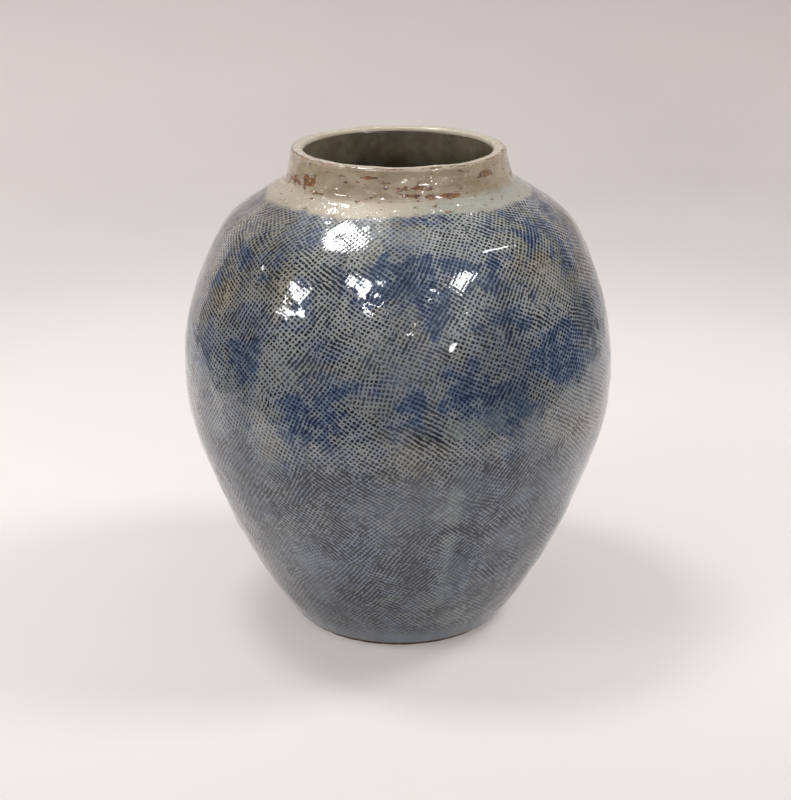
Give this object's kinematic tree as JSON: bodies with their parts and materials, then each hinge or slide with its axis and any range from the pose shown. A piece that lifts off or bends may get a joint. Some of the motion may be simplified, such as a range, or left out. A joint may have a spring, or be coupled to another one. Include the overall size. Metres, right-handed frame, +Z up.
{
  "type": "stoneware jar",
  "caption": "Round-bellied glazed stoneware jar with a short cream neck, a wide open mouth, a cord-textured blue-grey body and a flat unglazed foot, for holding food or drink.",
  "frame": {"origin": "centre of the flat foot, on the surface the jar stands on", "axes": "+Z up along the jar's axis; -Y faces the viewer of the reference view, +X to that viewer's right"},
  "size_m": [0.262, 0.262, 0.3],
  "materials": {
    "foot_clay": "bare fired clay, matt dark brown",
    "wall_clay": "bare fired clay under the glaze, matt",
    "blue_grey_glaze": "glossy, cord-impressed, blue-black in the hollows and warm grey on the ridges",
    "cream_glaze": "satin cream with rust-brown flecks",
    "dark_glaze": "glossy dark olive grey"
  },
  "bodies": {
    "root": {"base_slab": "foot_clay", "foot_course": "wall_clay", "lower_course": "wall_clay", "flank_course": "wall_clay", "belly_course": "wall_clay", "upper_course": "wall_clay", "shoulder_course": "wall_clay", "neck_collar": "wall_clay", "body_glaze": "blue_grey_glaze", "neck_glaze": "cream_glaze", "liner_glaze": "dark_glaze"}
  },
  "joints": []
}
